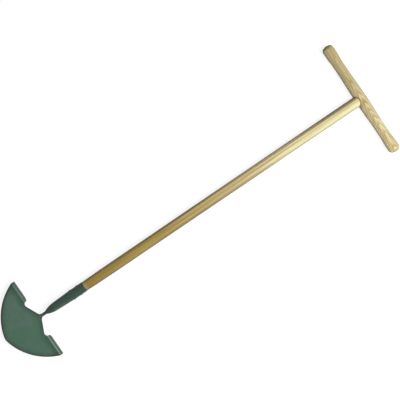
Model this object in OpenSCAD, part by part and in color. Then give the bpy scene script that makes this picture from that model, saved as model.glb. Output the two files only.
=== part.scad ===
// Edging iron: a half-moon lawn edger with a T handle, lying on its back.
// +X runs up the shaft from the blade to the T handle, +Y across the blade, +Z out of its front face.
// The origin is on the ground under the middle of the tool, which rests on the T handle and both treads.
// Sub-parts are drawn with the blade's point at the origin and the shaft's axis on X, so a height is a
// distance up the shaft from the point. set_down() then puts each one in its place.

/* [Overall] */
// Length from the blade's point to the top of the T handle
overall_len = 1000; // [850:10:1100]

/* [Blade] */
// Thickness of the blade plate and its treads
plate_t = 2.8; // [2.2:0.1:3.4]
// Radius of each of the two cutting arcs
edge_r = 137; // [132:0.5:145]
// Distance of each arc's centre past the axis, towards the other side
edge_offset = 27.5; // [22:0.5:32]
// Radius of the blunt point where the arcs meet
nose_r = 25; // [15:1:35]
// Width of the bevel ground on the front of the cutting edge
bevel_w = 5; // [3:0.5:7]
// Thickness left at the cutting edge
edge_t = 0.9; // [0.6:0.1:1.4]

/* [Treads] */
// Height where the treads start to turn back
bend_at = 84; // [80:0.5:86]
// Outer radius of the turned bend
bend_r = 5; // [4:0.5:6.5]
// Distance from the axis to a tread's inner end, at the front face
tread_in_front = 45; // [44:0.2:47]
// Distance from the axis to a tread's inner end, at its far edge
tread_in_back = 51.5; // [49:0.5:60]
// Rounding of the tread's inner corner
tread_corner_r = 5; // [2:0.5:6]

/* [Crest] */
// Height where the two slopes of the crest would meet
crest_top = 99.1; // [98:0.2:101]
// Fall of the crest to each side, in degrees
crest_fall = 24.7; // [23:0.1:26]
// Radius of the relief notch between crest and tread
notch_r = 7.5; // [6:0.25:7.75]
// Radius of the curve from the crest into the neck
crest_fillet_r = 8; // [5:0.5:10]

/* [Neck and socket] */
// Width of the neck, seen from the front
neck_w = 7.6; // [7:0.2:10]
// Depth of the neck, from front to back
neck_d = 11; // [9:0.5:13]
// Height where the foot of the neck starts on the plate
foot_at = 92; // [90:0.5:94]
// Height where the neck starts to swell into the socket
swell_at = 112; // [109:0.5:113]
// Height where the swell meets the cone of the socket
cone_at = 137; // [134:1:140]
// Diameter of the socket at the foot of its cone
cone_d = 20.5; // [20:0.1:21.4]
// Height where the cone meets the straight mouth
mouth_at = 187; // [182:1:192]
// Height of the socket's rim
rim_at = 219; // [215:1:225]
// Outside diameter of the straight mouth
mouth_d = 24.2; // [23.6:0.1:24.8]
// Wall thickness of the socket
wall_t = 1.2; // [1:0.1:1.6]
// Width of the seam down the back of the socket
seam_w = 1.2; // [0.6:0.2:2]

/* [Rivets] */
// Diameter of the rivet shank
rivet_d = 3.6; // [3:0.2:4.6]
// Diameter of the rivet head
rivet_head_d = 5.6; // [5:0.2:6.6]
// Height of the rivet head above the socket
rivet_head_h = 0.8; // [0.6:0.1:1.4]
// Distance from the rim to the first rivet
rivet_from_rim = 15; // [12:0.5:18]
// Spacing of the two rivets
rivet_pitch = 19; // [16:0.5:22]

/* [Shaft] */
// Diameter of the shaft where its shoulder meets the rim of the socket
shoulder_d = 23; // [22.4:0.1:23.6]
// Diameter of the shaft above its shoulder
shaft_low_d = 24.8; // [24:0.1:25.6]
// Diameter of the shaft at the T handle
shaft_top_d = 26; // [25.2:0.1:26.8]
// Length over which the shaft swells out above the socket
shoulder_len = 95; // [60:5:130]
// Length over which the shaft's top rounds in towards its tenon
top_round_len = 18; // [10:0.5:20]
// Diameter of the tenon through the T handle
tenon_d = 17; // [15:0.5:18]

/* [T handle] */
// Length of the T handle
tee_len = 290; // [270:1:320]
// Diameter of the T handle at its middle and near its ends
tee_d = 27.4; // [27:0.1:30]
// Diameter of the T handle at its waists
tee_waist_d = 24.7; // [23:0.1:26.6]
// Distance from the middle where each waist starts
tee_waist_at = 78; // [60:1:90]
// Distance from the middle where each waist ends
tee_flare_at = 98; // [91:1:104]
// Distance from the middle where the T handle is back to its full diameter
tee_full_at = 122; // [108:1:124]
// Rounding of the T handle's ends
tee_end_r = 9; // [5:0.5:10]
// Thickness of the wedge at its outer end
wedge_t = 3.4; // [2.4:0.2:4.4]

/* [Hidden] */

$fn = 96;
far = 60;

// Colours, as the finished tool looks
paint_green = [0.33, 0.42, 0.37];
weld_green = [0.29, 0.38, 0.33];
ash_gold = [0.76, 0.62, 0.38];
ash_pale = [0.81, 0.72, 0.52];
wedge_brown = [0.55, 0.40, 0.24];
rivet_grey = [0.36, 0.40, 0.44];

// Heights and levels that follow from the driving dimensions
ground_z = -tee_d / 2;
tee_at = overall_len - tee_d / 2;
top_round_at = overall_len - tee_d - 1;
face_z = plate_t / 2;

// Cutting edge: the arcs run into the blunt point, and the tips are where they reach the bend
edge_cx = nose_r + sqrt(pow(edge_r - nose_r, 2) - pow(edge_offset, 2));
nose_half = nose_r * edge_offset / (edge_r - nose_r);
tip_half = sqrt(pow(edge_r, 2) - pow(edge_cx - bend_at, 2)) - edge_offset;

// Treads, notches and crest
tread_top = bend_at + bend_r;
bend_z = face_z - bend_r;
notch_x = tread_top + 0.2;
notch_y = (crest_top - notch_x + notch_r / cos(crest_fall)) / tan(crest_fall);
fillet_y = neck_w / 2 + crest_fillet_r;
fillet_x = crest_at(fillet_y) + crest_fillet_r / cos(crest_fall);
tongue_half = neck_w / 2 - 0.15;
tongue_top = fillet_x + 4;

// Neck: its foot laps over the plate as a leaf and thins to nothing
foot_len = 12;
foot_half_d = face_z + 0.4;
foot_rings = 9;
swell_rings = 20;
swell_power = 2.1;
cone_step = 0.03;
shoulder_rise = 2;
loft_sides = 40;

// Socket bore, which the foot of the shaft fills
bore_r = mouth_d / 2 - wall_t;
wood_end_at = cone_at + 5;
wood_end_r = outside_r_at(wood_end_at) - wall_t;
rim_chamfer = 0.4;
seam_end_at = wood_end_at + 6;

rivet_heights = [rim_at - rivet_from_rim, rim_at - rivet_from_rim - rivet_pitch];
rivet_dome_r = 6;

weld_r = 1.3;
weld_gap = 0.3;
weld_half_angle = 60;
weld_rings = 20;
weld_ripples = 5;
weld_sides = 10;

shoulder_steps = 8;
top_round_steps = 10;
tee_plain = 14;
tee_steps = 16;
tee_dome = 1;
wedge_len = 24;
wedge_tip_t = 0.9;

// Height of the crest line at a distance y from the axis
function crest_at(y) = crest_top - y * tan(crest_fall);

// Radius at height x of the cone of the socket, also below its foot
function cone_r_at(x) = (cone_d + (mouth_d - cone_d) * (x - cone_at) / (mouth_at - cone_at)) / 2;

// Outside radius of the socket at height x, on its cone or its straight mouth
function outside_r_at(x) = min(mouth_d / 2, cone_r_at(x));

// Step from 0 to 1 that is smooth at both ends
function ease(u) = (1 - cos(180 * u)) / 2;

// Swell from 0 to 1 that starts at an angle and ends flush, like the nose of a bullet
function swell(u) = 1 - pow(1 - u, swell_power);

// Sections of the neck as [height, half width, half depth]: its leaf-shaped foot, and its swell
function foot_ring(u) =
  [foot_at + foot_len * u,
   neck_w / 2 * sqrt(1 - pow(1 - u, 2)),
   foot_half_d + (neck_d / 2 - foot_half_d) * ease(u)];
function swell_ring(u) =
  let (x = swell_at + (cone_at - swell_at) * u, r = cone_r_at(x) - cone_step * u)
  [x, neck_w / 2 + (r - neck_w / 2) * swell(u), neck_d / 2 + (r - neck_d / 2) * ease(u)];

// Radius of the T handle at a distance from its middle: full at its plain middle, waisted, then full again
function tee_r_at(y) =
  tee_d / 2 - (tee_d - tee_waist_d) / 2 * min(
    ease(min(1, (y - tee_plain) / (tee_waist_at - tee_plain))),
    ease(min(1, (tee_full_at - y) / (tee_full_at - tee_flare_at))));

// Half of the T handle's profile as [radius, distance from its middle], out from the plain middle
function tee_half_profile() = concat(
  [for (i = [0 : tee_steps])
    let (y = tee_plain + (tee_full_at - tee_plain) * i / tee_steps) [tee_r_at(y), y]],
  [for (a = [0 : 15 : 90])
    [tee_d / 2 - tee_end_r * (1 - cos(a)), tee_len / 2 - tee_dome - tee_end_r * (1 - sin(a))]],
  [for (u = [2 / 3, 1 / 3, 0])
    [(tee_d / 2 - tee_end_r) * u, tee_len / 2 - tee_dome * u * u]]);

// Puts a sub-part, drawn from the blade's point, down on the ground
module set_down() {
  translate([-overall_len / 2, 0, -ground_z]) children();
}

// The children and their mirror image on the other side of the blade
module both_sides() {
  children();
  mirror([0, 1, 0]) children();
}

// Solid of revolution about the shaft's axis, from a profile of [height, radius]
module turned(profile) {
  rotate([0, 90, 0]) rotate_extrude() polygon([for (p = profile) [p[1], p[0]]]);
}

// Closed solid through rings of points, each ring with the same number of them
module loft(rings) {
  last = len(rings) - 1;
  sides = len(rings[0]);
  walls = [for (k = [0 : last - 1], i = [0 : sides - 1])
    let (a = k * sides + i, b = k * sides + (i + 1) % sides)
    [a, a + sides, b + sides, b]];
  polyhedron([for (ring = rings, p = ring) p],
    concat([[for (i = [0 : sides - 1]) i]], walls, [[for (i = [sides - 1 : -1 : 0]) last * sides + i]]));
}

// One side of the plate's outline, from the axis to the tip and up to the bend
module half_outline() {
  difference() {
    union() {
      polygon([[0, 0], [crest_top, 0],
        [notch_x - notch_r * cos(crest_fall), notch_y - notch_r * sin(crest_fall)],
        [notch_x, notch_y], [0, notch_y]]);
      translate([0, notch_y]) square([bend_at, tip_half - notch_y]);
      square([tongue_top, tongue_half]);
    }
    translate([notch_x, notch_y]) circle(r = notch_r);
  }
  crest_fillet();
}

// Curve that leads the crest up into the neck, with its root below the crest
module crest_fillet() {
  down = [cos(crest_fall), sin(crest_fall)];
  touch = [fillet_x, fillet_y] - crest_fillet_r * down;
  difference() {
    polygon([[touch[0], 0], [fillet_x, 0], [fillet_x, fillet_y], touch, touch - 3 * down]);
    translate([fillet_x, fillet_y]) circle(r = crest_fillet_r);
  }
}

// Section of a tread, seen along Y: a quarter bend and the turned flap
module tread_section() {
  intersection() {
    translate([bend_at, bend_z]) difference() {
      circle(r = bend_r);
      circle(r = bend_r - plate_t);
    }
    translate([bend_at, bend_z]) square(bend_r);
  }
  translate([tread_top - plate_t, ground_z]) square([plate_t, bend_z - ground_z]);
}

// Outline of a tread, seen down the shaft: its inner end slants outwards and its corner is round
module tread_plan() {
  slant = atan((tread_in_back - tread_in_front) / (face_z - ground_z));
  corner = [tread_in_back + tread_corner_r * (1 - sin(slant)) / cos(slant), ground_z + tread_corner_r];
  difference() {
    polygon([[tread_in_front, face_z], [tip_half, face_z], [tip_half, ground_z], [tread_in_back, ground_z]]);
    difference() {
      polygon([[corner[0], ground_z - 1], [tread_in_back - 2, ground_z - 1],
        [corner[0] - tread_corner_r * cos(slant), corner[1] - tread_corner_r * sin(slant)], corner]);
      translate(corner) circle(r = tread_corner_r);
    }
  }
}

module tread() {
  intersection() {
    translate([0, tip_half, 0]) rotate([90, 0, 0]) linear_extrude(tip_half) tread_section();
    rotate([90, 0, 90]) linear_extrude(tread_top) tread_plan();
  }
}

// Disc with the bevel ground on the front of its rim
module ground_disc(r) {
  bevel_z = edge_t - face_z;
  translate([0, 0, ground_z]) cylinder(r = r, h = bevel_z - ground_z);
  translate([0, 0, bevel_z]) cylinder(r1 = r, r2 = r - bevel_w, h = face_z - bevel_z);
}

// Block round the blunt point, as wide as its arc
module nose_block() {
  translate([-nose_r, -nose_half, -far]) cube([1.8 * nose_r, 2 * nose_half, 2 * far]);
}

// Everything inside the two cutting arcs and the blunt point between them
module inside_the_edge() {
  difference() {
    intersection_for (side = [-1, 1])
      translate([edge_cx, side * edge_offset, 0]) ground_disc(edge_r);
    nose_block();
  }
  intersection() {
    translate([nose_r, 0, 0]) ground_disc(nose_r);
    nose_block();
  }
}

module blade() {
  color(paint_green) set_down() intersection() {
    difference() {
      both_sides() {
        translate([0, 0, -face_z]) linear_extrude(plate_t) half_outline();
        tread();
      }
      both_sides() translate([notch_x, notch_y, -far]) cylinder(r = notch_r, h = 2 * far);
    }
    inside_the_edge();
  }
}

// Slot in the foot of the neck that straddles the plate
module plate_slot() {
  translate([0, -far, -face_z]) cube([tongue_top, 2 * far, plate_t]);
}

// Forged neck, from its foot on the plate up into the cone of the socket
module neck() {
  sections = concat(
    [for (i = [0 : foot_rings]) foot_ring(0.02 + 0.98 * i / foot_rings)],
    [for (i = [0 : swell_rings]) swell_ring(i / swell_rings)]);
  loft([for (s = sections)
    [for (i = [0 : loft_sides - 1])
      let (a = 360 * i / loft_sides) [s[0], s[1] * cos(a), s[2] * sin(a)]]]);
}

// Cone and straight mouth of the socket, still solid
module socket_outside() {
  turned([[cone_at, 0], [cone_at, cone_d / 2], [mouth_at, mouth_d / 2],
    [rim_at - rim_chamfer, mouth_d / 2], [rim_at, mouth_d / 2 - rim_chamfer], [rim_at, 0]]);
}

module socket_bore() {
  turned([[wood_end_at, 0], [wood_end_at, wood_end_r], [mouth_at, bore_r],
    [rim_at - rim_chamfer, bore_r], [rim_at, bore_r + rim_chamfer], [rim_at, 0]]);
}

// Seam where the rolled socket closes, down its back
module socket_seam() {
  translate([seam_end_at, -seam_w / 2, -mouth_d]) cube([rim_at, seam_w, mouth_d]);
  translate([seam_end_at, 0, -mouth_d]) cylinder(d = seam_w, h = mouth_d);
}

// Cross bars the size of the rivet shanks, that stand out from the socket by proud at each end
module rivet_shanks(proud) {
  for (x = rivet_heights)
    translate([x, 0, 0]) rotate([90, 0, 0])
      cylinder(d = rivet_d, h = 2 * (outside_r_at(x) + proud), center = true);
}

module socket() {
  color(paint_green) set_down() difference() {
    union() {
      neck();
      socket_outside();
    }
    socket_bore();
    socket_seam();
    rivet_shanks(2);
    plate_slot();
  }
}

// Run of weld round the leaf-shaped foot, rippled and thinner at its two ends
module weld_run() {
  half_w = neck_w / 2 + weld_gap;
  half_l = foot_len + weld_gap;
  loft([for (i = [0 : weld_rings])
    let (u = 2 * i / weld_rings - 1,
         a = weld_half_angle * u,
         r = weld_r * (1 - 0.6 * pow(u, 4)) * (1 + 0.05 * cos(360 * weld_ripples * u)),
         p = [foot_at + foot_len - half_l * cos(a), half_w * sin(a)],
         out = [-half_w * cos(a), half_l * sin(a)] / norm([half_w * cos(a), half_l * sin(a)]))
    [for (j = [0 : weld_sides - 1])
      let (b = 360 * j / weld_sides)
      [p[0] + r * cos(b) * out[0], p[1] + r * cos(b) * out[1], face_z + r * sin(b)]]]);
}

module neck_weld() {
  color(weld_green) set_down() difference() {
    union() {
      weld_run();
      mirror([0, 0, 1]) weld_run();
    }
    plate_slot();
    neck();
  }
}

// Low dome with its rim below the surface that it sits on
module rivet_head() {
  intersection() {
    translate([0, 0, rivet_head_h - rivet_dome_r]) sphere(r = rivet_dome_r);
    translate([0, 0, -rivet_head_h]) cylinder(d = rivet_head_d, h = 3 * rivet_head_h);
  }
}

module rivets() {
  color(rivet_grey) set_down() {
    rivet_shanks(rivet_head_h / 3);
    difference() {
      for (x = rivet_heights, side = [-90, 90])
        translate([x, 0, 0]) rotate([side, 0, 0]) translate([0, 0, outside_r_at(x)]) rivet_head();
      socket_outside();
    }
  }
}

module tenon() {
  translate([tee_at - tee_d, 0, 0]) rotate([0, 90, 0]) cylinder(d = tenon_d, h = 2 * tee_d);
}

// Turned T handle, with no hole
module tee_body() {
  half = tee_half_profile();
  last = len(half) - 1;
  translate([tee_at, 0, 0]) rotate([90, 0, 0]) rotate_extrude()
    polygon(concat(half, [for (i = [last : -1 : 0]) [half[i][0], -half[i][1]]]));
}

// Wedge in the tenon, still with no curved end
module wedge_body() {
  intersection() {
    linear_extrude(tee_d, center = true)
      polygon([[overall_len - wedge_len, wedge_tip_t / 2], [overall_len + 1, wedge_t / 2],
        [overall_len + 1, -wedge_t / 2], [overall_len - wedge_len, -wedge_tip_t / 2]]);
    tenon();
  }
}

// Shaft: tapered into the socket, rounded and coped to the T handle, and with a tenon right through it
module shaft() {
  shoulder = [for (i = [0 : shoulder_steps])
    [rim_at + shoulder_rise + (shoulder_len - shoulder_rise) * i / shoulder_steps,
     shoulder_d / 2 + (shaft_low_d - shoulder_d) / 2 * swell(i / shoulder_steps)]];
  top_round = [for (i = [0 : top_round_steps])
    let (a = 75 * i / top_round_steps)
    [top_round_at + top_round_len * sin(a), shaft_top_d / 2 * cos(a)]];
  color(ash_gold) set_down() difference() {
    union() {
      difference() {
        turned(concat([[wood_end_at, 0], [wood_end_at, wood_end_r], [mouth_at, bore_r], [rim_at, bore_r]],
          shoulder, top_round, [[top_round_at + top_round_len * sin(75), 0]]));
        tee_body();
      }
      intersection() {
        tenon();
        tee_body();
      }
    }
    wedge_body();
    rivet_shanks(2);
  }
}

module tee_handle() {
  color(ash_pale) set_down() difference() {
    tee_body();
    tenon();
  }
}

module tenon_wedge() {
  color(wedge_brown) set_down() intersection() {
    wedge_body();
    tee_body();
  }
}

blade();
socket();
neck_weld();
rivets();
shaft();
tee_handle();
tenon_wedge();
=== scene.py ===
from math import cos, radians, sin, sqrt

import bpy
from mathutils import Matrix, Vector

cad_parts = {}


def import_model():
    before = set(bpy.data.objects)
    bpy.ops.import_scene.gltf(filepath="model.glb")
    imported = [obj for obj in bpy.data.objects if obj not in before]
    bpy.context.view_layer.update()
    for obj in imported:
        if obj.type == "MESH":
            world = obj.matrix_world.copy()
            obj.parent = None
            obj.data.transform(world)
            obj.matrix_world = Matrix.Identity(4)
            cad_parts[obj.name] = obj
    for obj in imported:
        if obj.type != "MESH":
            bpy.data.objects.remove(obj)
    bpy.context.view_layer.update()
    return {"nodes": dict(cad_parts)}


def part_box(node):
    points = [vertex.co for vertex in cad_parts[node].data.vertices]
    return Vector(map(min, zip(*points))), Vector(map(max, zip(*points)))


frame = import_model()
nodes = frame["nodes"]

# The tool lies on its back along X, with the blade's point at the low end and its left side towards +Y,
# as the camera sees it. Every length is in metres. These places and sizes follow from the nodes
TEE_LOW, TEE_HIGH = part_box("tee_handle")
TEE_X = (TEE_LOW.x + TEE_HIGH.x) / 2
TEE_R = (TEE_HIGH.x - TEE_LOW.x) / 2
AXIS_Z = (TEE_LOW.z + TEE_HIGH.z) / 2
LEFT_END_Y = TEE_HIGH.y
POINT_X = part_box("blade")[0].x
RIM_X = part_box("socket")[1].x

# The blade's outline, measured from its point and its middle line: two cutting arcs that meet
# in a blunt nose, a crest that falls to both sides, and treads that turn back from BEND_AT up
# and from TREAD_FROM outwards
EDGE_R = 0.137
EDGE_OFFSET = 0.0275
NOSE_R = 0.025
EDGE_CENTRE = NOSE_R + sqrt((EDGE_R - NOSE_R) ** 2 - EDGE_OFFSET ** 2)
CREST_TOP = 0.0991
CREST_FALL = radians(24.7)
BEND_AT = 0.084
TREAD_FROM = (0.043, 0.046)

# The shaft's head starts just below the T handle and rounds in, and its tenon goes through the handle
HEAD_X = TEE_LOW.x - 0.001
HEAD_LENGTH = 0.018
SHAFT_TOP_R = 0.0130
TENON_R = 0.0085

# Colours are linear red, green and blue. One that multiplies another is called a tint
WHITE = (1, 1, 1)


class Tree:
    """The nodes of a material or of the world, which start empty."""

    def __init__(self, holder):
        holder.use_nodes = True
        self.nodes = holder.node_tree.nodes
        self.links = holder.node_tree.links
        self.nodes.clear()

    def put(self, socket, value):
        """Links a field to a socket, or sets the socket to a number, a vector or a colour."""
        if isinstance(value, Field):
            self.links.new(value.socket, socket)
        elif hasattr(value, "__len__") and len(value) < len(socket.default_value):
            socket.default_value = (*value, 1)
        else:
            socket.default_value = value

    def make(self, kind, inputs, output=0, **settings):
        """Adds a node with these settings and inputs, and returns one of its outputs."""
        made = self.nodes.new(kind)
        for key, value in settings.items():
            setattr(made, key, value)
        for key, value in inputs.items():
            self.put(made.inputs[key], value)
        return Field(self, made.outputs[output])

    def show(self, kind, shader):
        """Sends the shader to an output node of this kind."""
        self.put(self.nodes.new(kind).inputs["Surface"], shader)

    def math(self, what, *values):
        return self.make("ShaderNodeMath", dict(enumerate(values)), operation=what)

    def mix(self, share, under, over, way="MIX"):
        """Lays one colour over another. The node's colours are its inputs 6 and 7 and its output 2."""
        inputs = {0: share, 6: under, 7: over}
        return self.make("ShaderNodeMix", inputs, output=2, data_type="RGBA", blend_type=way)

    def coordinate(self, name):
        return self.make("ShaderNodeTexCoord", {}, output=name)


class Field:
    """A number, vector or colour that the shader works out at every point."""

    def __init__(self, tree, socket):
        self.tree = tree
        self.socket = socket

    def __add__(self, other):
        return self.tree.math("ADD", self, other)

    def __sub__(self, other):
        return self.tree.math("SUBTRACT", self, other)

    def __rsub__(self, other):
        return self.tree.math("SUBTRACT", other, self)

    def __mul__(self, other):
        return self.tree.math("MULTIPLY", self, other)

    def __truediv__(self, other):
        return self.tree.math("DIVIDE", self, other)

    def __abs__(self):
        return self.tree.math("ABSOLUTE", self)

    def at_least(self, other):
        return self.tree.math("MAXIMUM", self, other)

    def at_most(self, other):
        return self.tree.math("MINIMUM", self, other)

    def fraction(self):
        return self.tree.math("FRACT", self)

    def span(self, low, high, start, end, way="SMOOTHSTEP"):
        """Runs from start to end while this field runs from low to high."""
        inputs = dict(enumerate((self, low, high, start, end)))
        return self.tree.make("ShaderNodeMapRange", inputs, interpolation_type=way)

    def rise(self, low, high):
        return self.span(low, high, 0.0, 1.0)

    def fall(self, low, high):
        return self.span(low, high, 1.0, 0.0)

    def near(self, centre, inner, outer):
        """1 within inner of the centre, and 0 beyond outer."""
        return abs(self - centre).fall(inner, outer)

    def cover(self, under, over):
        """The colour under, covered by the colour over as far as this field says."""
        return self.tree.mix(self, under, over)

    def tinted(self, tint):
        return self.tree.mix(1.0, self, tint, "MULTIPLY")

    def capped(self, most):
        inputs = {0: self, 1: (most, most, most)}
        return self.tree.make("ShaderNodeVectorMath", inputs, operation="MINIMUM")

    def ramp(self, stops):
        """A run of colours, or of greys, from stops of a place between 0 and 1 and a colour."""
        made = self.tree.nodes.new("ShaderNodeValToRGB")
        points = made.color_ramp.elements
        while len(points) < len(stops):
            points.new(0.5)
        for point, (at, colour) in zip(points, stops):
            point.position = at
            point.color = (*colour, 1) if hasattr(colour, "__len__") else (colour, colour, colour, 1)
        self.tree.put(made.inputs[0], self)
        return Field(self.tree, made.outputs[0])

    def noise(self, scale, detail, rough):
        """Noise between 0 and 1 at this place, with about scale lumps to the metre."""
        inputs = {"Vector": self, "Scale": scale, "Detail": detail, "Roughness": rough}
        return self.tree.make("ShaderNodeTexNoise", inputs)

    def sway(self, scale, detail, rough, width):
        """Noise about 0, with this width in all."""
        return (self.noise(scale, detail, rough) - 0.5) * width

    def scaled(self, factors):
        return self.tree.make("ShaderNodeVectorMath", {0: self, 1: factors}, operation="MULTIPLY")

    def length(self):
        return self.tree.make("ShaderNodeVectorMath", {0: self}, output="Value", operation="LENGTH")

    def split(self):
        """The three coordinates of a vector."""
        made = self.tree.make("ShaderNodeSeparateXYZ", {0: self}).socket.node
        return [Field(self.tree, output) for output in made.outputs]

    def bump(self, distance, strength):
        inputs = {"Height": self, "Distance": distance, "Strength": strength}
        return self.tree.make("ShaderNodeBump", inputs)


def distance(a, b):
    """Length of the diagonal over two sides."""
    squares = a * a + b * b
    return squares.tree.math("SQRT", squares)


# Camera, light and floor

def camera():
    """Looks down from nearly straight above, turned so that the shaft runs up to the right."""
    target = Vector((0.0499, 0.0154, AXIS_Z))
    away = 1.65
    turn = radians(-34.13)
    lean_x = radians(1.14)
    lean_y = radians(0.12)

    data = bpy.data.cameras.new("camera")
    data.lens = 64.67
    data.sensor_width = 36
    made = bpy.data.objects.new("camera", data)
    bpy.context.scene.collection.objects.link(made)
    lean = (Matrix.Rotation(lean_x, 3, "X") @ Matrix.Rotation(lean_y, 3, "Y")).transposed()
    pose = lean @ Matrix.Rotation(turn, 3, "Z")
    spot = target + lean @ Vector((0, 0, away))
    made.matrix_world = Matrix.Translation(spot) @ pose.to_4x4()
    bpy.context.scene.camera = made


def area_light(name, place, target, size, watts):
    data = bpy.data.lights.new(name, "AREA")
    data.shape = "RECTANGLE"
    data.size, data.size_y = size
    data.energy = watts
    lamp = bpy.data.objects.new(name, data)
    bpy.context.scene.collection.objects.link(lamp)
    lamp.location = place
    aim = Vector(target) - Vector(place)
    lamp.rotation_euler = aim.to_track_quat("-Z", "Y").to_euler()


def seen_directly(tree):
    """1 where the camera sees a surface itself, in a mirror or through glass, and 0 for soft light."""
    path = tree.nodes.new("ShaderNodeLightPath")
    kinds = ("Is Camera Ray", "Is Glossy Ray", "Is Transmission Ray")
    seen, mirrored, through = (Field(tree, path.outputs[kind]) for kind in kinds)
    return seen.at_least(mirrored).at_least(through)


def world():
    """White all round, but dim where it lights the tool, so that the lamps shape it."""
    ambient_strength = 0.17
    made = bpy.data.worlds.new("studio")
    bpy.context.scene.world = made
    tree = Tree(made)
    ambient = tree.make("ShaderNodeBackground", {"Color": WHITE, "Strength": ambient_strength})
    bright = tree.make("ShaderNodeBackground", {"Color": WHITE})
    both = tree.make("ShaderNodeMixShader", {0: seen_directly(tree), 1: ambient, 2: bright})
    tree.show("ShaderNodeOutputWorld", both)


def pale_floor():
    """A plain floor just under the tool, which glows nearly white and keeps the tool's shadow."""
    side = 30
    gap = 0.0002
    grey = (0.24, 0.24, 0.24)
    bpy.ops.mesh.primitive_plane_add(size=side, location=(0, 0, -gap))
    floor = bpy.context.object
    floor.name = "floor"
    material = bpy.data.materials.new("pale_floor")
    tree = Tree(material)
    plain = tree.make("ShaderNodeBsdfDiffuse", {"Color": grey})
    # The glow grows as the lamps' light falls off with distance, so that no horizon shows
    strength = tree.coordinate("Object").length().span(0.9, 3.5, 0.86, 1.0)
    glow = tree.make("ShaderNodeEmission", {"Strength": seen_directly(tree) * strength})
    tree.show("ShaderNodeOutputMaterial", tree.make("ShaderNodeAddShader", {0: plain, 1: glow}))
    floor.data.materials.append(material)


def studio():
    bpy.context.scene.view_settings.view_transform = "Standard"
    world()
    pale_floor()
    area_light("softbox", place=(0.80, -0.64, 1.50), target=(0.1, 0, 0), size=(0.8, 0.8), watts=27.5)
    area_light("strip", place=(0.50, -0.75, 1.25), target=(0.4, 0, 0), size=(1.0, 0.1), watts=5)


# Enamel

def product(colour, tint):
    """The colour with this tint, where both are plain numbers."""
    return tuple(a * b for a, b in zip(colour, tint))


def enamel(name, tone, rough, shade=None):
    """Satin enamel over steel: clouded tone, a fine orange-peel skin and scuffs.
    shade gives a tint at each place, for darker edges, painted shade and painted highlights."""
    material = bpy.data.materials.new(name)
    tree = Tree(material)
    place = tree.coordinate("Object")

    clouds = place.noise(scale=34, detail=4, rough=0.6)
    skin = place.noise(scale=900, detail=2, rough=0.6)
    peel = place.noise(scale=420, detail=2, rough=0.5)
    # Levels of the clouds, and the tint that the tone takes at each
    tints = ((0.34, (0.86, 1.00, 0.89)), (0.50, (1.02, 1.01, 1.02)), (0.64, (1.24, 1.05, 1.22)))
    colour = clouds.ramp([(at, product(tone, tint)) for at, tint in tints])
    colour = (skin.rise(0.45, 0.75) * 0.35).cover(colour, product(tone, (0.72, 0.72, 0.72)))

    scratches = place.scaled((0.25, 1.0, 1.0)).noise(scale=620, detail=2, rough=0.7)
    worn_spots = place.noise(scale=60, detail=2, rough=0.5)
    scuffs = scratches.rise(0.66, 0.74) * worn_spots.rise(0.5, 0.62)
    colour = (scuffs * 0.30).cover(colour, tuple(0.5 * part + 0.07 for part in tone))
    # The tints from shade, which hold painted shade and painted highlights
    if shade:
        colour = colour.tinted(shade(place))

    shader = tree.make("ShaderNodeBsdfPrincipled", {
        "Base Color": colour,
        "Roughness": clouds.span(0.3, 0.7, rough - 0.04, rough + 0.05),
        "Specular IOR Level": 0.30,
        "Normal": (peel * 0.7 + skin * 0.3).bump(distance=0.00022, strength=0.55),
    })
    tree.show("ShaderNodeOutputMaterial", shader)
    return material


def blade_shade(place):
    """Enamel that darkens towards every edge and has a thin darker rim, with painted shade in the
    crease and on the upper lip of each bend, and a painted highlight in patches on the bends.
    """
    x, y, _ = place.split()
    height = x - POINT_X
    side = abs(y)
    above_bend = height - BEND_AT
    crease_at = -0.0018
    on_tread = side.rise(*TREAD_FROM)
    from_arc = EDGE_R - distance(height - EDGE_CENTRE, side + EDGE_OFFSET)
    from_crest = (CREST_TOP - height) * cos(CREST_FALL) - side * sin(CREST_FALL)

    # Soft darkening towards the cutting arcs, the crest and the foot of the bend
    arc_depth = 0.0145
    top_depth = 0.0170
    open_tint = (1.03, 1.03, 1.03)
    uneven = place.sway(scale=90, detail=2, rough=0.6, width=0.006)
    arc_tint = (from_arc + uneven).rise(0.0, arc_depth).cover((0.74, 0.62, 0.72), open_tint)
    from_top = from_crest.at_least(crease_at - above_bend) + uneven
    top_tint = from_top.rise(0.0, top_depth).cover((0.63, 0.67, 0.65), open_tint)
    on_bend = above_bend.rise(crease_at, 0.0006) * on_tread
    tint = arc_tint.tinted(on_bend.cover(top_tint, WHITE))

    # Thin dark lines along the arcs and the crest, and painted shade in the crease of the bend and on
    # its upper lip
    along_crest = abs(from_crest) + side.span(0.0330, 0.0380, 0.0, 0.01)
    ragged = place.sway(scale=260, detail=2, rough=0.6, width=0.0022)
    rim = (from_arc.at_most(along_crest) + ragged).span(0.0006, 0.0034, 0.42, 1.0)
    lip = above_bend.rise(0.0034, 0.0047) * 0.66
    crease = above_bend.near(crease_at, 0.0, 0.0016) * 0.30
    tint = tint.tinted(rim * (1 - (lip + crease) * on_tread))

    # A painted highlight on the bends, in patches, strongest on the right, the lamps' side
    bend = above_bend.rise(-0.0010, 0.0006) * above_bend.fall(0.0026, 0.0040) * on_tread
    patchy = place.noise(scale=120, detail=3, rough=0.6).span(0.25, 0.6, 0.55, 1.0)
    bend_highlight = bend * patchy * y.span(-0.03, 0.03, 1.0, 0.30)
    return bend_highlight.cover(tint, (1.86, 1.52, 1.75))


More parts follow.
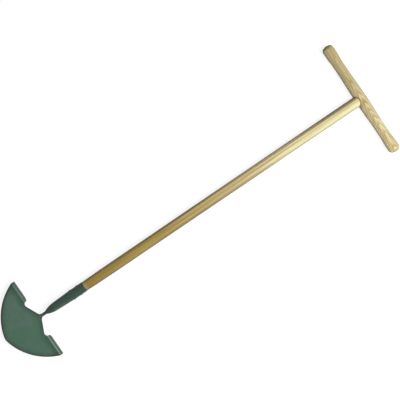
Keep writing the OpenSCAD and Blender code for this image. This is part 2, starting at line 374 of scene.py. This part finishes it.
def socket_shade(place):
    """Enamel with painted shade in the neck, a painted highlight in patches on the neck's foot, and a
    painted highlight on the upper right flank.
    """
    x, y, z = place.split()
    height = x - POINT_X
    # Painted shade in the neck
    neck = height.rise(0.103, 0.107) * height.fall(0.110, 0.122)
    on_cone = height.rise(0.122, 0.136) * height.fall(0.150, 0.200)
    # A painted highlight along the upper right flank of the cone, on the side that faces up
    flank = y.fall(-0.0056, -0.0032) * upper_side(z) * on_cone
    # A painted highlight in patches on the neck's foot
    patchy = place.noise(scale=240, detail=2, rough=0.6).span(0.36, 0.56, 0.45, 1.0)
    foot = height.fall(0.102, 0.106) * patchy
    tint = neck.cover(WHITE, (0.55, 0.55, 0.58))
    tint = flank.cover(tint, (1.60, 1.48, 1.56))
    return foot.cover(tint, (3.3, 2.9, 3.3))


def upper_side(z):
    """1 on the side that faces up, and 0 from 6 mm below the shaft's axis."""
    return z.rise(AXIS_Z - 0.006, AXIS_Z - 0.001)


# Wood

# How dark one growth ring is on its way out: darkest just after its start, then ever paler
RING_DEPTH = ((0.0, 0.15), (0.06, 1.0), (0.30, 0.72), (0.62, 0.22), (0.96, 0.0), (1.0, 0.15))
PORE_BROWN = (0.10, 0.055, 0.02)
END_BROWN = (0.12, 0.075, 0.034)
# The brown of the painted shade in the joints and of old glue
SHADE_AND_GLUE_BROWN = (0.13, 0.072, 0.022)
# The whole colour drifts a little through these tints
DRIFT_TINTS = ((0.32, (0.97, 1.0, 0.92)), (0.5, WHITE), (0.68, (1.04, 0.97, 1.0)))
# The most of any colour that the wood may send back
WOOD_MOST = 0.93


def wood(name, grain, rings, colours, shade_and_glue=None, ring_gap=0.0031, figure=0.6, stripe=0.30, pore=0.5):
    """Lacquered wood with the coarse pores of ash, cut out of a log of growth rings.
    grain is the axis along the grain, 0 or 1. rings gives a point's distance from the log's heart,
    colours gives its pale and its dark wood, and shade_and_glue says how far painted shade in the
    joints and old glue cover it.
    figure, stripe and pore say how dark the rings, the broad stripes and the pores are."""
    material = bpy.data.materials.new(name)
    tree = Tree(material)
    place = tree.coordinate("Object")
    lengthwise = along_grain(place, grain)

    wander = lengthwise.sway(scale=45, detail=2, rough=0.5, width=0.004)
    jag = lengthwise.sway(scale=420, detail=3, rough=0.7, width=0.0016)
    ring = ((rings(place) + (wander + jag)) / ring_gap).fraction().ramp(RING_DEPTH)
    broad = lengthwise.noise(scale=160, detail=3, rough=0.6)
    fine = lengthwise.noise(scale=800, detail=2, rough=0.55)
    pores = lengthwise.noise(scale=1400, detail=3, rough=0.65).rise(0.56, 0.72) * ring.rise(0.1, 0.9)
    end_grain = abs(tree.coordinate("Normal").split()[grain]).rise(0.45, 0.95)

    pale, dark = colours(place)
    colour = (ring * figure).cover(pale, dark)
    colour = (broad.rise(0.38, 0.62) * stripe).cover(colour, dark)
    colour = (fine.rise(0.42, 0.62) * 0.28).cover(colour, dark)
    colour = (pores * pore).cover(colour, tree.mix(0.5, dark, PORE_BROWN))
    colour = (end_grain * 0.7).cover(colour, tree.mix(0.5, dark, END_BROWN))
    # Painted shade in the joints, and old glue
    if shade_and_glue:
        colour = shade_and_glue(place).cover(colour, SHADE_AND_GLUE_BROWN)
    drift = lengthwise.noise(scale=75, detail=3, rough=0.6).ramp(DRIFT_TINTS)

    shader = tree.make("ShaderNodeBsdfPrincipled", {
        "Base Color": colour.tinted(drift).capped(WOOD_MOST),
        "Roughness": broad.span(0.3, 0.7, 0.42, 0.52),
        "Specular IOR Level": 0.2,
        "Coat Weight": 0.12,
        "Coat Roughness": 0.20,
        "Normal": (fine * 0.25 - pores).bump(distance=0.00012, strength=0.5),
    })
    tree.show("ShaderNodeOutputMaterial", shader)
    return material


def along_grain(place, grain):
    """The place with its length along the grain pressed together, which stretches noise that way."""
    factors = [1.0, 1.0, 1.0]
    factors[grain] = 0.035
    return place.scaled(factors)


def shaft_rings(place):
    """The log's heart lies below the shaft and to the left, 55 mm from its axis and almost parallel."""
    x, y, z = place.split()
    return distance(y - (x * 0.010 + 0.034), z - (x * 0.006 - 0.030))


def tee_rings(place):
    """The log's heart runs through the T handle, above its axis. The rings are straight in the left
    third. From there to the right they widen like cones, and come out as nested flames."""
    x, y, z = place.split()
    widening = (y - 0.0456).at_most(0.0) * 0.105
    return distance(x - TEE_X, z - 0.0215) + widening


def shaft_colours(place):
    """Golden wood that turns pale towards the top, with bands along it whose edges wander a little
    across the shaft. Several bands are painted light, painted shade and a painted highlight."""
    x, y, z = place.split()
    upwards = x.span(-0.29, 0.48, 0.0, 1.0, "LINEAR")
    pale = upwards.ramp((
        (0.0, (0.48, 0.345, 0.085)),
        (0.30, (0.49, 0.36, 0.106)),
        (0.55, (0.60, 0.48, 0.225)),
        (0.75, (0.77, 0.70, 0.385)),
        (1.0, (0.74, 0.66, 0.36)),
    ))
    dark = upwards.ramp((
        (0.0, (0.26, 0.165, 0.032)),
        (0.35, (0.28, 0.185, 0.050)),
        (0.65, (0.40, 0.30, 0.125)),
        (1.0, (0.50, 0.42, 0.20)),
    ))

    y = y + along_grain(place, 0).sway(scale=300, detail=3, rough=0.65, width=0.004)
    shifted = y + x.rise(0.12, 0.30) * 0.0016
    up = upper_side(z)
    right = y.fall(-0.0053, -0.0030)
    left_line = y.near(0.0022, 0.0006, 0.0020)
    streak = y.rise(0.0026, 0.0042) * shifted.fall(0.0064, 0.0094)
    # Each band is how far it covers the wood, and its tint. Later ones lie over earlier ones
    bands = (
        # Painted light on the outer left flank, and a brown band of painted shade over it towards the
        # top
        (y.rise(0.0060, 0.0085) * x.rise(0.04, 0.14), (1.18, 1.17, 1.22)),
        (y.rise(0.0038, 0.0105) * x.rise(0.22, 0.42) * up, (0.48, 0.46, 0.42)),
        # A cream painted highlight on the upper right
        (right * x.rise(0.19, 0.33), (1.33, 1.43, 1.62)),
        # Two duller lines: painted shade to the right of the middle, and a line to the left of the
        # middle
        (y.near(-0.0021, 0.0006, 0.0020) * x.rise(0.0, 0.10), (0.90, 0.90, 0.90)),
        (left_line * x.rise(-0.14, -0.04) * x.fall(0.26, 0.35), (0.86, 0.86, 0.84)),
        # Painted shade on the right, below the cream highlight
        (right * x.rise(-0.04, 0.04) * x.fall(0.18, 0.26), (0.88, 0.88, 0.88)),
        # A bright streak of painted light beside the left flank, and a thin brown line in it
        (streak * x.rise(-0.25, 0.03) * x.fall(0.37, 0.43), (1.52, 1.53, 1.72)),
        (y.near(0.0068, 0.0006, 0.0018) * 0.30 * up * x.rise(0.12, 0.22), (0.2, 0.16, 0.1)),
    )
    tint = WHITE
    for share, band_tint in bands:
        tint = share.cover(tint, band_tint)
    # A grey band all along the right flank, bluer at the low end
    grey = x.rise(-0.25, 0.10).cover((0.68, 0.76, 1.40), (0.65, 0.69, 0.89))
    tint = tint.tinted((shifted.fall(-0.0105, -0.0045) * up).cover(WHITE, grey))

    # A thin smear of enamel lies on the wood at the rim of the socket
    smear = x.span(RIM_X, RIM_X + 0.013, 0.36, 0.0)
    pale = smear.cover(pale, (0.60, 0.62, 0.40))
    dark = smear.cover(dark, (0.42, 0.44, 0.28))
    return pale.tinted(tint), dark.tinted(tint)


def tee_colours(place):
    """Pale wood, darker to the left, with old glue beside the joint, painted light along the sides away
    from and towards the shaft, and painted shade on the left end.
    """
    x, y, _ = place.split()
    across = x - TEE_X
    leftwards = y.span(-0.14, 0.14, 0.0, 1.0, "LINEAR")
    pale = leftwards.ramp((
        (0.0, (0.80, 0.685, 0.39)),
        (0.5, (0.71, 0.612, 0.35)),
        (1.0, (0.59, 0.50, 0.255)),
    ))
    dark = leftwards.ramp((
        (0.0, (0.36, 0.245, 0.10)),
        (0.5, (0.37, 0.26, 0.115)),
        (1.0, (0.39, 0.28, 0.13)),
    ))

    crown = y.rise(0.012, 0.030) * across.fall(0.0010, 0.0045)
    # Painted light, bluish, on the side away from the shaft, most on the right
    far_flank_light = y.rise(0.0, 0.06).cover((1.05, 1.20, 1.36), (1.0, 1.04, 1.12))
    glue = y.near(-0.009, 0.006, 0.012) * across.fall(0.002, 0.007)
    flame = y.near(-0.076, 0.008, 0.024) * across.rise(-0.006, -0.002)
    # Painted shade on the left end, which faces away from the lamps
    left_end_shade = y.rise(LEFT_END_Y - 0.0105, LEFT_END_Y - 0.0010)
    tint = crown.cover(WHITE, (0.89, 0.905, 0.84))
    tint = across.rise(0.0042, 0.0085).cover(tint, far_flank_light)
    # Painted light, bluish, on the side towards the shaft
    tint = across.fall(-0.0104, -0.0070).cover(tint, (1.18, 1.28, 1.46))
    tint = glue.cover(tint, (0.84, 0.85, 0.72))
    tint = tint.tinted(flame.cover(WHITE, (1.12, 1.15, 1.20)))
    tint = left_end_shade.cover(tint, (0.46, 0.48, 0.32))
    return pale.tinted(tint), dark.tinted(tint)


def wedge_colours(place):
    return (0.30, 0.17, 0.07), (0.18, 0.09, 0.035)


def under_tee(x):
    """1 below the middle of the T handle, on the shaft's side."""
    return x.fall(TEE_X - 0.001, TEE_X + 0.002)


def tee_shade_and_glue(place):
    """Painted shade in a dark line where the shaft's head meets the T handle, wider on the left, away
    from the lamps, and old glue round the tenon on top."""
    x, y, z = place.split()
    from_axis = distance(y, z - AXIS_Z)
    # The head is half an egg, so its height is scaled to make it half a ball
    up = (x - HEAD_X).at_least(0.0) * (SHAFT_TOP_R / HEAD_LENGTH)
    outer = y.span(-0.004, 0.010, 0.0143, 0.0170)
    # Painted shade along the joint, widest on the left
    line = distance(from_axis, up).fall(SHAFT_TOP_R, outer) * under_tee(x)
    tenon = from_axis.near(TENON_R, 0.0, 0.0007) * x.rise(TEE_X, TEE_X + 0.002)
    return (line * 0.85 + tenon * 0.6).at_most(1.0)


def shaft_joint_shade(place):
    """Painted shade in dark lines at the rim of the socket and in the joint under the T handle."""
    x, _, z = place.split()
    ragged = place.noise(scale=320, detail=2, rough=0.6) * 0.0022
    rim = (x - ragged).span(RIM_X, RIM_X + 0.0014, 0.55, 0.0)
    joint = distance(x - TEE_X, z - AXIS_Z).span(TEE_R, TEE_R + 0.001, 0.75, 0.0) * under_tee(x)
    return rim.at_least(joint)


def put_on(node, material):
    data = nodes[node].data
    data.materials.clear()
    data.materials.append(material)
    for face in data.polygons:
        face.material_index = 0


def dress():
    """Gives every node its material."""
    put_on("blade", enamel("green_enamel_blade", (0.078, 0.156, 0.107), 0.38, blade_shade))
    put_on("socket", enamel("green_enamel_socket", (0.032, 0.073, 0.050), 0.30, socket_shade))
    put_on("neck_weld", enamel("green_enamel_weld", (0.085, 0.150, 0.112), 0.36))
    put_on("rivets", enamel("rivet_enamel", (0.029, 0.047, 0.050), 0.30))
    put_on("shaft", wood("ash_shaft", 0, shaft_rings, shaft_colours, shaft_joint_shade,
                         figure=0.70, stripe=0.50, pore=0.7))
    put_on("tee_handle", wood("ash_handle", 1, tee_rings, tee_colours, tee_shade_and_glue,
                              ring_gap=0.0025, figure=0.90, stripe=0.35))
    put_on("tenon_wedge", wood("wedge_wood", 0, shaft_rings, wedge_colours))


camera()
studio()
dress()
